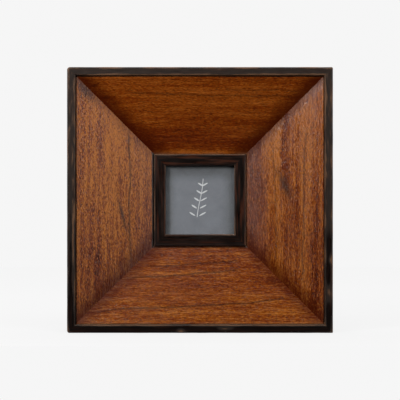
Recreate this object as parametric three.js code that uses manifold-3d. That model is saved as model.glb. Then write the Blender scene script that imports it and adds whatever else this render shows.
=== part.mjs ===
// Square picture frame: a funnel of sloping hardwood panels round a small glazed picture.
//
// Four ebonised rails are mitred into a square. Four panels lie on a sloping shoulder inside the rails and
// fall to a small rebated inner frame, which takes glass, card and filler pad from behind. A back board lies
// in a rebate of the rails under four turn buttons, and carries an easel strut and a hanger ring.
//
// Millimetres. +X is right as seen from the front, +Y runs from front to back, and +Z is up. The origin is
// the middle of the bottom rail's underside, so the frame stands on z = 0.
//
// Two words are used throughout: inset is the distance from the outside of a rail towards the middle of the
// frame, and depth is the distance behind the rails' front faces.

import * as THREE from "three";
import { mergeVertices } from "three/addons/utils/BufferGeometryUtils.js";
import Module from "manifold-3d";

const wasm = await Module();
wasm.setup();

// Driving dimensions: outer rails
const FRAME_SIDE = 250; // outside to outside
const RAIL_FACE = 8; // width of the front face
const RAIL_STOCK = 20; // full width, behind the panel
const RAIL_REVEAL = 2; // front face ahead of the panel's outer edge
const RAIL_ARRIS = 1.2; // rubbed rounding of the front arrises
const RAIL_BACK_ARRIS = 0.6; // easing of the back arrises
const RAIL_CORNER = 2; // rounding of the four outer corners
const RAIL_REBATE = 6; // width of the ledge under the back board

// Driving dimensions: sloping panels
const PANEL_DROP = 27; // fall from the rail to the inner frame
const PANEL_SHEET = 6; // thickness
const PANEL_EASE = 0.6; // easing of the two front edges

// Driving dimensions: inner frame
const INNER_SIDE = 88; // outside to outside
const INNER_FACE = 11; // width of the front face
const INNER_WALL = 5.5; // wall beside the glass; the rest of the face is the lip over it
const INNER_LIP = 4; // thickness of the lip
const INNER_PROUD = 2.5; // front face ahead of the panel's inner edge
const INNER_ARRIS = 1; // rubbed rounding of the front arrises

// Driving dimensions: picture and back board
const GLASS_SHEET = 2;
const CARD_SHEET = 0.4;
const BOARD_SHEET = 3;
const BOARD_PROUD = 0.8; // board behind the rails' back edges
const BOARD_CORNER = 2; // rounding of the board's corners

// Driving dimensions: turn buttons and their screws
const BUTTON_SHEET = 1;
const BUTTON_WIDTH = 9;
const BUTTON_INSET = 7; // pivot from the outside of the rail
const BUTTON_LAP = 7.5; // tip past the edge of the back board
const BUTTON_SPACING = 130; // upper pivot to lower pivot
const SCREW_SHANK = 3; // diameter
const SCREW_HEAD = 6; // diameter
const SCREW_HEAD_RISE = 1.8;
const SCREW_LENGTH = 14;
const SCREW_POINT = 3; // length of the tapered point
const SCREW_RECESS = 0.9; // width and depth of the cross recess

// Driving dimensions: easel strut and its hinge
const HINGE_RISE = 27; // pin above the middle of the frame
const HINGE_WIDTH = 32;
const HINGE_KNUCKLE = 12; // width of the middle knuckle
const LEAF_SHEET = 0.8;
const LEAF_BOARD_REACH = 15; // pin to the free edge of the leaf on the board
const LEAF_STRUT_REACH = 22; // pin to the free edge of the leaf on the strut
const LEAF_CORNER = 3;
const STRUT_SHEET = 3;
const STRUT_TOP_WIDTH = 38;
const STRUT_FOOT_WIDTH = 58;
const STRUT_CORNER = 7; // rounding of the foot
const STRUT_GAP = 0.6; // folded strut behind the board
const STRUT_FLOOR = 5; // folded foot above the underside

// Driving dimensions: hanger
const HANGER_DROP = 24; // pin of the ring below the top edge of the back board
const HANGER_SHEET = 0.8;
const HANGER_WIDTH = 46;
const HANGER_HEIGHT = 11;
const HANGER_KNUCKLE = 10; // width of the rolled loop
const RING_WIRE = 2; // diameter
const RING_WIDTH = 20; // middle of wire to middle of wire
const RING_HEIGHT = 17;
const RING_BEND = 2.5; // rounding of the ring's corners

// Driving dimensions: rivets
const RIVET_SHANK = 2.4; // diameter
const RIVET_HEAD = 5; // diameter
const RIVET_HEAD_RISE = 1.1;

// Clearances
const GLUE_LINE = 0.15; // between glued pieces
const MITRE_LINE = 0.12; // cut off each end of a mitred piece
const SEAT = 0.15; // between pieces that lie on each other
const BOARD_BACKING_GAP = 0.6; // back board behind the panels
const GLASS_FIT = 0.4; // glass, card and pad in their rebate, each side
const BOARD_FIT = 0.5; // back board in its rebate, each side
const SHANK_FIT = 0.2; // round a screw or rivet shank
const PIVOT_FIT = 0.3; // round a turning pin or wire, and between knuckles
const CRANK_FIT = 0.8; // crank of a turn button before the edge of the back board

// Facets
const ARC_STEPS = 3; // pairs of facets round a corner
const TURN_STEPS = 16; // round a turned piece
const DOME_STEPS = 3; // up a domed head
const RING_STEPS = 60; // along the ring
const WIRE_STEPS = 8; // round the ring's wire

// Worked out: the slope of the panels, and the depths of the layers behind it
const HALF = FRAME_SIDE / 2;
const INNER_INSET = (FRAME_SIDE - INNER_SIDE) / 2;
const SLOPE = PANEL_DROP / (INNER_INSET - RAIL_FACE);
const PANEL_RISE = PANEL_SHEET * Math.hypot(1, SLOPE); // thickness measured along the depth
const panelFace = (inset) => RAIL_REVEAL + (inset - RAIL_FACE) * SLOPE;
const panelBack = (inset) => panelFace(inset) + PANEL_RISE;

const INNER_FRONT = panelFace(INNER_INSET) - INNER_PROUD;
const BOARD_FRONT = panelBack(INNER_INSET) + BOARD_BACKING_GAP;
const BOARD_REAR = BOARD_FRONT + BOARD_SHEET;
const BACK = BOARD_REAR - BOARD_PROUD; // depth of the rails' back edges
const BOARD_INSET = RAIL_STOCK - RAIL_REBATE + BOARD_FIT;

// Worked out: pins. The knuckle is as thick as the folded strut with its leaf, so that both leaves lie flat.
const KNUCKLE = (STRUT_GAP + STRUT_SHEET + LEAF_SHEET) / 2;
const PIN = KNUCKLE - LEAF_SHEET - PIVOT_FIT;
const PIN_DEPTH = BOARD_REAR + SEAT + KNUCKLE;
const RING_KNUCKLE = RING_WIRE / 2 + PIVOT_FIT + HANGER_SHEET;
const RING_DEPTH = BOARD_REAR + SEAT + RING_KNUCKLE;
const RING_Z = HALF - BOARD_INSET - HANGER_DROP;

// Finishes
function finish(color, roughness, metalness = 0) {
  return new THREE.MeshStandardMaterial({ color, roughness, metalness });
}
const EBONISED = finish("#211a17", 0.5);
const HARDWOOD = finish("#75441f", 0.45);
const FIBREBOARD = finish("#8a6a4a", 0.85);
const CARD = finish("#6c7078", 0.6);
const PAD = finish("#a98b63", 0.9);
const STEEL = finish("#b9b6ae", 0.35, 1);
const GLASS = finish("#f4f8f7", 0.05);
GLASS.transparent = true;
GLASS.opacity = 0.2;

// A closed outline through corners [x, y, radius], each rounded by an arc or, with no radius, left sharp.
function outline(corners) {
  const shape = new THREE.Shape();
  corners.forEach(([x, y, radius = 0], i) => {
    const corner = new THREE.Vector2(x, y);
    const back = new THREE.Vector2(...corners.at(i - 1)).sub(corner).normalize();
    const ahead = new THREE.Vector2(...corners[(i + 1) % corners.length]).sub(corner).normalize();
    const half = back.angleTo(ahead) / 2;
    const start = back.clone().setLength(radius / Math.tan(half));
    const end = ahead.clone().setLength(radius / Math.tan(half));
    const centre = back.clone().add(ahead).setLength(radius / Math.sin(half));
    const startAngle = start.clone().sub(centre).angle();
    const endAngle = end.clone().sub(centre).angle();
    const clockwise = back.cross(ahead) > 0;
    if (i === 0) shape.moveTo(x + start.x, y + start.y);
    else shape.lineTo(x + start.x, y + start.y);
    if (radius > 0) shape.absarc(x + centre.x, y + centre.y, radius, startAngle, endAngle, clockwise);
  });
  shape.closePath();
  return shape;
}

// A rectangle with rounded corners, centred on a point.
function rectangle(width, height, radius = 0, x = 0, y = 0) {
  const right = x + width / 2;
  const top = y + height / 2;
  return outline([
    [right - width, top - height, radius],
    [right, top - height, radius],
    [right, top, radius],
    [right - width, top, radius],
  ]);
}

// A flat piece: an outline in the plane of the frame (x to the right, y up), filled between two depths.
function sheet(shape, front, rear) {
  const settings = { depth: rear - front, bevelEnabled: false, curveSegments: ARC_STEPS };
  return new THREE.ExtrudeGeometry(shape, settings).rotateX(Math.PI / 2).translate(0, rear, 0);
}

// A bent strip: a section (height, depth) carried sideways over a width, centred on x.
function strip(section, width, x = 0) {
  const settings = { depth: width, bevelEnabled: false, curveSegments: 2 * ARC_STEPS };
  return new THREE.ExtrudeGeometry(section, settings).rotateY(-Math.PI / 2).translate(x + width / 2, 0, 0);
}

// A mitred stick of the bottom side: a section (inset, depth) carried along x. Each end lies in the plane
// that halves the corner, so every point of the section ends short of the side's end by its own inset.
function mitredStick(section) {
  const settings = { depth: 1, bevelEnabled: false, curveSegments: ARC_STEPS };
  const geometry = new THREE.ExtrudeGeometry(section, settings);
  const points = geometry.attributes.position;
  for (let i = 0; i < points.count; i++) {
    const inset = points.getX(i);
    const end = points.getZ(i) > 0 ? -1 : 1;
    points.setXYZ(i, end * (HALF - inset - MITRE_LINE), points.getY(i), inset - HALF);
  }
  return geometry;
}

// A turned piece: a profile of [radius, depth] points, from the axis in front to the axis behind.
function turned(profile) {
  const points = profile.map(([radius, depth]) => new THREE.Vector2(radius, depth));
  return new THREE.LatheGeometry(points, TURN_STEPS);
}

// The domed head of a fastener, as profile points from its rim to its crown.
function dome(radius, seat, rise) {
  const points = [];
  for (let i = 0; i <= DOME_STEPS; i++) {
    const turn = (i / DOME_STEPS) * (Math.PI / 2);
    points.push([radius * Math.cos(turn), seat + rise * Math.sin(turn)]);
  }
  points[DOME_STEPS][0] = 0;
  return points;
}

// A round hole between two depths, for a shank with its clearance.
function hole(diameter, fit, front, rear) {
  const radius = diameter / 2 + fit;
  return turned([[0, front], [radius, front], [radius, rear], [0, rear]]);
}

// A closed three.js geometry as a solid, and a solid as a flat-shaded geometry.
function solid(geometry) {
  const bare = geometry.clone();
  bare.deleteAttribute("normal");
  bare.deleteAttribute("uv");
  const merged = mergeVertices(bare, 1e-4);
  return new wasm.Manifold(
    new wasm.Mesh({
      numProp: 3,
      vertProperties: merged.attributes.position.array,
      triVerts: new Uint32Array(merged.index.array),
    }),
  );
}

function geometryOf(body) {
  const mesh = body.getMesh();
  const indexed = new THREE.BufferGeometry();
  indexed.setAttribute("position", new THREE.BufferAttribute(mesh.vertProperties, 3));
  indexed.setIndex(new THREE.BufferAttribute(mesh.triVerts, 1));
  const geometry = indexed.toNonIndexed();
  geometry.computeVertexNormals();
  return geometry;
}

const cut = (geometry, cutters) =>
  geometryOf(cutters.reduce((body, cutter) => body.subtract(solid(cutter)), solid(geometry)));

const frame = new THREE.Group();
frame.position.set(0, -BACK / 2, HALF);

function piece(name, geometry, material, parent = frame) {
  const mesh = new THREE.Mesh(geometry, material);
  mesh.name = name;
  parent.add(mesh);
  return mesh;
}

// Turn button screws: under the head at SCREW_SEAT, and the pilot hole that each one needs in its rail
const BUTTON_FRONT = BACK + SEAT;
const SCREW_SEAT = BUTTON_FRONT + BUTTON_SHEET + SEAT;
const SCREW_TIP = SCREW_SEAT - SCREW_LENGTH;
const pilotHole = () => hole(SCREW_SHANK, SHANK_FIT, SCREW_TIP - SEAT, BACK + SEAT);

// Rails: a stepped section, with the panel's shoulder in front and the back board's rebate behind
const shoulder = (inset) => panelBack(inset) + GLUE_LINE;
const railSection = outline([
  [0, 0, RAIL_ARRIS],
  [RAIL_FACE, 0, RAIL_ARRIS],
  [RAIL_FACE, shoulder(RAIL_FACE)],
  [RAIL_STOCK, shoulder(RAIL_STOCK)],
  [RAIL_STOCK, BOARD_FRONT - SEAT],
  [RAIL_STOCK - RAIL_REBATE, BOARD_FRONT - SEAT],
  [RAIL_STOCK - RAIL_REBATE, BACK, RAIL_BACK_ARRIS],
  [0, BACK, RAIL_BACK_ARRIS],
]);
const roundedBlank = solid(sheet(rectangle(FRAME_SIDE, FRAME_SIDE, RAIL_CORNER), -SEAT, BACK + SEAT));
const plainRail = geometryOf(solid(mitredStick(railSection)).intersect(roundedBlank));

function rail(side) {
  const carriesButtons = side === "left" || side === "right";
  const places = carriesButtons ? [-BUTTON_SPACING / 2, BUTTON_SPACING / 2] : [];
  const holes = places.map((x) => pilotHole().translate(x, 0, BUTTON_INSET - HALF));
  return cut(plainRail, holes);
}

// Panels: a sloping board with upright edges, one against the rail and one against the inner frame
const panelOuter = RAIL_FACE + GLUE_LINE;
const panelInner = INNER_INSET - GLUE_LINE;
const panelSection = outline([
  [panelOuter, panelFace(panelOuter), PANEL_EASE],
  [panelInner, panelFace(panelInner), PANEL_EASE],
  [panelInner, panelBack(panelInner)],
  [panelOuter, panelBack(panelOuter)],
]);

// Inner frame: an L section, with the lip in front of the glass and the wall beside it
const innerSection = outline([
  [INNER_INSET, INNER_FRONT, INNER_ARRIS],
  [INNER_INSET + INNER_FACE, INNER_FRONT, INNER_ARRIS],
  [INNER_INSET + INNER_FACE, INNER_FRONT + INNER_LIP],
  [INNER_INSET + INNER_WALL, INNER_FRONT + INNER_LIP],
  [INNER_INSET + INNER_WALL, BOARD_FRONT - SEAT],
  [INNER_INSET, BOARD_FRONT - SEAT],
]);

// The four sides, each a quarter turn on from the last
["bottom", "left", "top", "right"].forEach((side, quarter) => {
  const group = new THREE.Group();
  group.rotation.y = (quarter * Math.PI) / 2;
  frame.add(group);
  piece(`rail_${side}`, rail(side), EBONISED, group);
  piece(`panel_${side}`, mitredStick(panelSection), HARDWOOD, group);
  piece(`inner_frame_${side}`, mitredStick(innerSection), EBONISED, group);
});

// Picture: glass against the lip, then the card, then a pad that fills the rest of the rebate
const pictureSide = INNER_SIDE - 2 * (INNER_WALL + GLASS_FIT);
const picture = rectangle(pictureSide, pictureSide);
const GLASS_FRONT = INNER_FRONT + INNER_LIP + SEAT;
const CARD_FRONT = GLASS_FRONT + GLASS_SHEET + SEAT;
const PAD_FRONT = CARD_FRONT + CARD_SHEET + SEAT;
piece("glass_pane", sheet(picture, GLASS_FRONT, GLASS_FRONT + GLASS_SHEET), GLASS);
piece("photo_card", sheet(picture, CARD_FRONT, CARD_FRONT + CARD_SHEET), CARD);
piece("filler_pad", sheet(picture, PAD_FRONT, BOARD_FRONT - SEAT), PAD);

// Rivets: two through each hinge leaf, side by side, and one through each end of the hanger plate
const leafRivetX = HINGE_WIDTH / 2 - LEAF_CORNER - RIVET_HEAD / 2;
const boardRivetZ = HINGE_RISE + (KNUCKLE + LEAF_BOARD_REACH) / 2;
const strutRivetZ = HINGE_RISE - (KNUCKLE + LEAF_STRUT_REACH) / 2;
const hangerRivetX = (HANGER_WIDTH - HANGER_HEIGHT) / 2;
const hangerZ = RING_Z - HANGER_HEIGHT / 2;
const ENDS = [["left", -1], ["right", 1]];

function rivet(front, seat) {
  const shank = RIVET_SHANK / 2;
  return turned([[0, front], [shank, front], [shank, seat], ...dome(RIVET_HEAD / 2, seat, RIVET_HEAD_RISE)]);
}

// A hole for a rivet at each end, through everything between two depths.
const rivetHoles = (x, z, front, rear) =>
  ENDS.map(([, end]) => hole(RIVET_SHANK, SHANK_FIT, front - SEAT, rear + SEAT).translate(end * x, 0, z));

// Back board, bored for the rivets of the hinge and of the hanger
const boardSide = FRAME_SIDE - 2 * BOARD_INSET;
const boardHoles = [
  ...rivetHoles(leafRivetX, boardRivetZ, BOARD_FRONT, BOARD_REAR),
  ...rivetHoles(hangerRivetX, hangerZ, BOARD_FRONT, BOARD_REAR),
];
const board = sheet(rectangle(boardSide, boardSide, BOARD_CORNER), BOARD_FRONT, BOARD_REAR);
piece("back_board", cut(board, boardHoles), FIBREBOARD);

// Turn buttons: a cranked plate with round ends, bent up just before the edge of the proud back board.
// Each is made on its pivot with its tip along +z, and its screw beside it.
const boardEdge = BOARD_INSET - BUTTON_INSET; // from the pivot
const buttonTip = boardEdge + BUTTON_LAP;
const crankTop = boardEdge - CRANK_FIT;
const crankFoot = crankTop - 2 * BOARD_PROUD;
const buttonHeel = BUTTON_WIDTH / 2;
const crankSection = outline([
  [-buttonHeel, BUTTON_FRONT],
  [crankFoot, BUTTON_FRONT],
  [crankTop, BUTTON_FRONT + BOARD_PROUD],
  [buttonTip, BUTTON_FRONT + BOARD_PROUD],
  [buttonTip, BUTTON_FRONT + BOARD_PROUD + BUTTON_SHEET],
  [crankTop, BUTTON_FRONT + BOARD_PROUD + BUTTON_SHEET],
  [crankFoot, BUTTON_FRONT + BUTTON_SHEET],
  [-buttonHeel, BUTTON_FRONT + BUTTON_SHEET],
]);
const buttonLength = buttonTip + buttonHeel;
const buttonRound = BUTTON_WIDTH / 2 - SEAT;
const buttonPlan = rectangle(BUTTON_WIDTH, buttonLength, buttonRound, 0, buttonTip - buttonLength / 2);
const buttonBlank = solid(strip(crankSection, BUTTON_WIDTH));
const buttonReach = sheet(buttonPlan, BUTTON_FRONT - SEAT, BUTTON_FRONT + BOARD_PROUD + BUTTON_SHEET + SEAT);
const buttonHole = hole(SCREW_SHANK, PIVOT_FIT, BUTTON_FRONT - SEAT, SCREW_SEAT);
const button = geometryOf(buttonBlank.intersect(solid(buttonReach)).subtract(solid(buttonHole)));

const screwShank = SCREW_SHANK / 2;
const screwBlank = turned([
  [0, SCREW_TIP],
  [screwShank, SCREW_TIP + SCREW_POINT],
  [screwShank, SCREW_SEAT],
  ...dome(SCREW_HEAD / 2, SCREW_SEAT, SCREW_HEAD_RISE),
]);
const crown = SCREW_SEAT + SCREW_HEAD_RISE;
const recessArm = (width, height) => sheet(rectangle(width, height), crown - SCREW_RECESS, crown + SEAT);
const recessLength = SCREW_HEAD / 2;
const screw = cut(screwBlank, [recessArm(recessLength, SCREW_RECESS), recessArm(SCREW_RECESS, recessLength)]);

for (const [side, across] of ENDS) {
  for (const [level, up] of [["lower", -1], ["upper", 1]]) {
    const pivot = new THREE.Group();
    pivot.position.set(across * (HALF - BUTTON_INSET), 0, (up * BUTTON_SPACING) / 2);
    pivot.rotation.y = (-across * Math.PI) / 2;
    frame.add(pivot);
    piece(`turn_button_${side}_${level}`, button, STEEL, pivot);
    piece(`button_screw_${side}_${level}`, screw, STEEL, pivot);
  }
}

// A strap that ends in a rolled knuckle round a pin at the section's origin. It lies in front of the pin and
// reaches up, or down with a negative reach, and its knuckle curls round the far side of the pin.
const KNUCKLE_SWEEP = THREE.MathUtils.degToRad(290);
function rolledSection(reach, thickness, radius) {
  const up = Math.sign(reach);
  const start = -Math.PI / 2;
  const end = start - up * KNUCKLE_SWEEP;
  const shape = new THREE.Shape();
  shape.moveTo(reach, -radius);
  shape.lineTo(0, -radius);
  shape.absarc(0, 0, radius, start, end, up > 0);
  shape.absarc(0, 0, radius - thickness, end, start, up < 0);
  shape.lineTo(reach, thickness - radius);
  shape.closePath();
  return shape;
}

// A hinge leaf on its pin: a plate with one or more rolled knuckles, each given as [width, x].
function leaf(reach, knuckles) {
  const height = reach - KNUCKLE;
  const plate = rectangle(HINGE_WIDTH, height, LEAF_CORNER, 0, reach - height / 2);
  const rolled = rolledSection(reach - LEAF_CORNER, LEAF_SHEET, KNUCKLE);
  const straps = knuckles.map(([width, x]) => solid(strip(rolled, width, x)));
  const flat = solid(sheet(plate, -KNUCKLE, LEAF_SHEET - KNUCKLE));
  return geometryOf(straps.reduce((body, strap) => body.add(strap), flat));
}

// Easel hinge: the leaf on the board has the outer knuckles and holds the pin, and the leaf on the strut,
// turned half round the pin, has the middle one
const endKnuckle = (HINGE_WIDTH - HINGE_KNUCKLE) / 2 - PIVOT_FIT;
const endKnuckleX = (HINGE_WIDTH - endKnuckle) / 2;
const boardLeaf = leaf(LEAF_BOARD_REACH, ENDS.map(([, end]) => [endKnuckle, end * endKnuckleX]));
const strutLeaf = leaf(LEAF_STRUT_REACH, [[HINGE_KNUCKLE, 0]]).rotateX(Math.PI);
boardLeaf.translate(0, PIN_DEPTH, HINGE_RISE);
strutLeaf.translate(0, PIN_DEPTH, HINGE_RISE);

const LEAF_REAR = BOARD_REAR + SEAT + LEAF_SHEET;
const STRUT_FRONT = BOARD_REAR + STRUT_GAP;
const STRUT_REAR = STRUT_FRONT + STRUT_SHEET;
const STRUT_LEAF_REAR = STRUT_REAR + SEAT + LEAF_SHEET;
const boardLeafHoles = rivetHoles(leafRivetX, boardRivetZ, BOARD_REAR, LEAF_REAR);
const strutLeafHoles = rivetHoles(leafRivetX, strutRivetZ, STRUT_REAR, STRUT_LEAF_REAR);
piece("hinge_leaf_board", cut(boardLeaf, boardLeafHoles), STEEL);
piece("hinge_leaf_strut", cut(strutLeaf, strutLeafHoles), STEEL);

const pin = new THREE.CylinderGeometry(PIN, PIN, HINGE_WIDTH, TURN_STEPS);
pin.rotateZ(Math.PI / 2).translate(0, PIN_DEPTH, HINGE_RISE);
piece("hinge_pin", pin, STEEL);

// Strut: a board that widens to a round-cornered foot
const strutTop = HINGE_RISE - KNUCKLE - CRANK_FIT;
const strutFoot = STRUT_FLOOR - HALF;
const strutOutline = outline([
  [-STRUT_FOOT_WIDTH / 2, strutFoot, STRUT_CORNER],
  [STRUT_FOOT_WIDTH / 2, strutFoot, STRUT_CORNER],
  [STRUT_TOP_WIDTH / 2, strutTop, LEAF_CORNER],
  [-STRUT_TOP_WIDTH / 2, strutTop, LEAF_CORNER],
]);
const strutHoles = rivetHoles(leafRivetX, strutRivetZ, STRUT_FRONT, STRUT_REAR);
piece("easel_strut", cut(sheet(strutOutline, STRUT_FRONT, STRUT_REAR), strutHoles), FIBREBOARD);

// Hanger: a plate with round ends and a rolled loop in the middle of its upper edge, and a triangular ring
// that hangs from the loop
const HANGER_FRONT = BOARD_REAR + SEAT;
const HANGER_REAR = HANGER_FRONT + HANGER_SHEET;
const hangerPlan = rectangle(HANGER_WIDTH, HANGER_HEIGHT, HANGER_HEIGHT / 2 - SEAT, 0, hangerZ);
const hangerLoop = strip(rolledSection(-HANGER_HEIGHT / 2, HANGER_SHEET, RING_KNUCKLE), HANGER_KNUCKLE);
hangerLoop.translate(0, RING_DEPTH, RING_Z);
const hangerPlate = geometryOf(solid(sheet(hangerPlan, HANGER_FRONT, HANGER_REAR)).add(solid(hangerLoop)));
piece("hanger_plate", cut(hangerPlate, rivetHoles(hangerRivetX, hangerZ, HANGER_FRONT, HANGER_REAR)), STEEL);

// A flat closed outline as a curve in the plane of the frame.
class WireLoop extends THREE.Curve {
  constructor(shape) {
    super();
    this.shape = shape;
  }

  getPoint(t, target = new THREE.Vector3()) {
    const point = this.shape.getPoint(t);
    return target.set(point.x, 0, point.y);
  }
}

const ringOutline = outline([
  [-RING_WIDTH / 2, 0, RING_BEND],
  [0, -RING_HEIGHT, RING_BEND],
  [RING_WIDTH / 2, 0, RING_BEND],
]);
const ring = new THREE.TubeGeometry(new WireLoop(ringOutline), RING_STEPS, RING_WIRE / 2, WIRE_STEPS, true);
piece("hanger_ring", ring.translate(0, RING_DEPTH, RING_Z), STEEL);

for (const [side, end] of ENDS) {
  const boardRivet = rivet(BOARD_FRONT, LEAF_REAR + SEAT).translate(end * leafRivetX, 0, boardRivetZ);
  const strutRivet = rivet(STRUT_FRONT, STRUT_LEAF_REAR + SEAT).translate(end * leafRivetX, 0, strutRivetZ);
  const hangerRivet = rivet(BOARD_FRONT, HANGER_REAR + SEAT).translate(end * hangerRivetX, 0, hangerZ);
  piece(`board_rivet_${side}`, boardRivet, STEEL);
  piece(`strut_rivet_${side}`, strutRivet, STEEL);
  piece(`hanger_rivet_${side}`, hangerRivet, STEEL);
}

export default frame;
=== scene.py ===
import bpy
import numpy as np
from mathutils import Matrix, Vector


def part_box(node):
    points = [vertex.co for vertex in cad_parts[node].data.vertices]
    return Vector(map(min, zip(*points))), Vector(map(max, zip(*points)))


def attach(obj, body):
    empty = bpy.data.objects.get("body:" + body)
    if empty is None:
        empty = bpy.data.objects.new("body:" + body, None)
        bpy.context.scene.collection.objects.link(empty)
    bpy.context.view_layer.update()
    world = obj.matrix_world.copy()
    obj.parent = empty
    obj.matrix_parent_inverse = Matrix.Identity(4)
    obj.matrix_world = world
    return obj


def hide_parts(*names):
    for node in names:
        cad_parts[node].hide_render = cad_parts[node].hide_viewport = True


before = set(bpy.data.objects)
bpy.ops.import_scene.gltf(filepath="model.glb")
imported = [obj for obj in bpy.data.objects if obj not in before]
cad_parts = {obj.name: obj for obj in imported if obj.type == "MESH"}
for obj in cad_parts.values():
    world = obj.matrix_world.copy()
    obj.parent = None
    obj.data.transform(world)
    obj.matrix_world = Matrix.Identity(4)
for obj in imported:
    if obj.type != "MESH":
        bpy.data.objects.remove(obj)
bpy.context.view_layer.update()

# Square picture frame, in metres. +X is right as seen from the front, +Y runs to the back and +Z is up.
# A mitred stick is worked out lying along the bottom side and then turned to its own side. On a stick, inset
# is the distance from the outside of the frame towards its middle, and depth the distance behind the front.

# Outer rails
# Four sticks of close-grained wood, moulded to a stepped section, mitred at the ends and glued into a square.
# They are stained black and waxed. Handling has rubbed the stain off their arrises and outer corners. Painted
# sheen greys their faces, more towards the top, and part of the rubbing on the bottom rail's inner arris is a
# painted highlight.
MM = 0.001
SIDES = ["bottom", "left", "top", "right"]
QUARTER_TURNS = [(1, 0), (0, 1), (-1, 0), (0, -1)]  # cosine and sine of each side's turn from the bottom
ENDS = ["left", "right"]
LEVELS = ["lower", "upper"]
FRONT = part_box("rail_bottom")[0].y
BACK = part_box("rail_bottom")[1].y - FRONT
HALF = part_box("rail_right")[1].x
GAP = 0.15 * MM  # left where two pieces meet
PANEL_SLOPE = 27 / 73  # fall of a panel over its width
PANEL_REVEAL = 2 * MM  # front of the rails ahead of the panels' outer edges
PANEL_RISE = 6.4 * MM  # thickness of a panel, measured along the depth
RAIL_FACE = 8 * MM
RAIL_STOCK = 20 * MM
RAIL_REBATE_WALL = 14 * MM
RAIL_SHOULDER = PANEL_REVEAL + PANEL_RISE + GAP
BOARD_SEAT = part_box("back_board")[0].y - FRONT - GAP
RAIL_CORNERS = [
    (0, 0),
    (RAIL_FACE, 0),
    (RAIL_FACE, RAIL_SHOULDER),
    (RAIL_STOCK, RAIL_SHOULDER + (RAIL_STOCK - RAIL_FACE) * PANEL_SLOPE),
    (RAIL_STOCK, BOARD_SEAT),
    (RAIL_REBATE_WALL, BOARD_SEAT),
    (RAIL_REBATE_WALL, BACK),
    (0, BACK),
]
RAIL_ROUNDING = np.array([1.3, 1.2, 0.2, 0.2, 0.3, 0.2, 0.6, 0.7]) * MM
RAIL_STATIONS = 241  # places along a stick where its section stands
RAIL_UNEVENNESS = 0.3  # share by which the rounding swells and shrinks along a stick
RAIL_WAVE = 30 * MM  # pitch of that change
CORNER_ROUNDING = np.array([2.2, 2.6, 1.4, 0.9]) * MM  # at the start of each side
CORNER_REACH = 7 * MM  # inset at which the rounding of an outer corner has died away
SCREW_HOLE = 1.7 * MM  # radius
STOCK_STEP = 0.4  # metres of stock from one side to the next, so that no two share their grain
CREASE = 32  # degrees: sharper edges of a mesh stay edges
RAIL_PAINTED_SHEEN = {  # painted sheen: greying of the faces, lighter towards the top; before and after a place, that place and the change's spread in mm
    "bottom": (-0.25, -0.25, 0, 50),
    "left": (0.45, -0.10, 10, 70),
    "top": (0.24, 0.24, 0, 50),
    "right": (-0.10, 0.41, -27, 14),
}
RAIL_RUB_AND_HIGHLIGHT = {  # rubbing of the outer and the inner arris; on the bottom rail's inner arris, which faces up, partly a painted highlight
    "bottom": (0.3, 1.5),
    "left": (0.7, 0.85),
    "top": (1.0, 1.3),
    "right": (0.9, 1.0),
}
RAIL_DABS = {  # rubbed spots: place along, inset, length and width in mm, and strength
    "bottom": [(-18, 2, 4, 2.5, 0.75), (24, 4.2, 8, 1.6, 0.7), (112, 0, 14, 1, 0.8)],
    "left": [(32, 5.6, 38, 0.8, 1.0), (-50, 6.3, 50, 2, 0.6)],
    "top": [(-76, 7.2, 22, 0.8, 1.1)],
    "right": [(-20, 1, 12, 1.5, 0.6), (-56, 1, 4, 2.5, 1.1), (-88, 4, 8, 3, 0.7)],
}
RAIL_RUB_REACH = 1.7 * MM  # of the rubbing round an arris
ARRIS_WAVE = 45 * MM  # pitch of the uneven rubbing along an arris
FADE_DEPTH = 5 * MM  # over which the fading of the sides dies away
DAB_DEPTH = 3 * MM
TIP_LENGTH = 3.5 * MM  # rubbed outer corners of the frame
TIP_WIDTH = 2.5 * MM
TIP_RUB = 0.9
EBONY_BLACK = [(0.0015, 0.0008, 0.0006), (0.008, 0.004, 0.003)]  # from dark to light grain
# grey of lightly rubbed black and of the painted sheen, from dark to light grain
EBONY_GREY_AND_SHEEN = [(0.016, 0.0118, 0.0098), (0.041, 0.0302, 0.0248)]
# brown of bare wood, partly a painted highlight on some arrises that face up
RUBBED_BROWN_AND_HIGHLIGHT = [(0.070, 0.033, 0.016), (0.19, 0.096, 0.050)]
RED_STREAK = (0.072, 0.022, 0.011)
RAIL_RED = 0.2  # strength of the reddish streaks


def waver(along, seed, pitch):
    """A smooth irregular wave from about -1 to 1: 1.6 times the mean of five sines, each with a seeded phase
    and a seeded pitch of about 0.6 to 2.2 times the given one."""
    rng = np.random.default_rng(seed)
    turns = 2 * np.pi / (pitch * rng.uniform(0.6, 2.2, 5))
    phases = rng.uniform(0, 2 * np.pi, 5)
    return 1.6 * np.sin(along[..., None] * turns + phases).mean(axis=-1)


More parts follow.
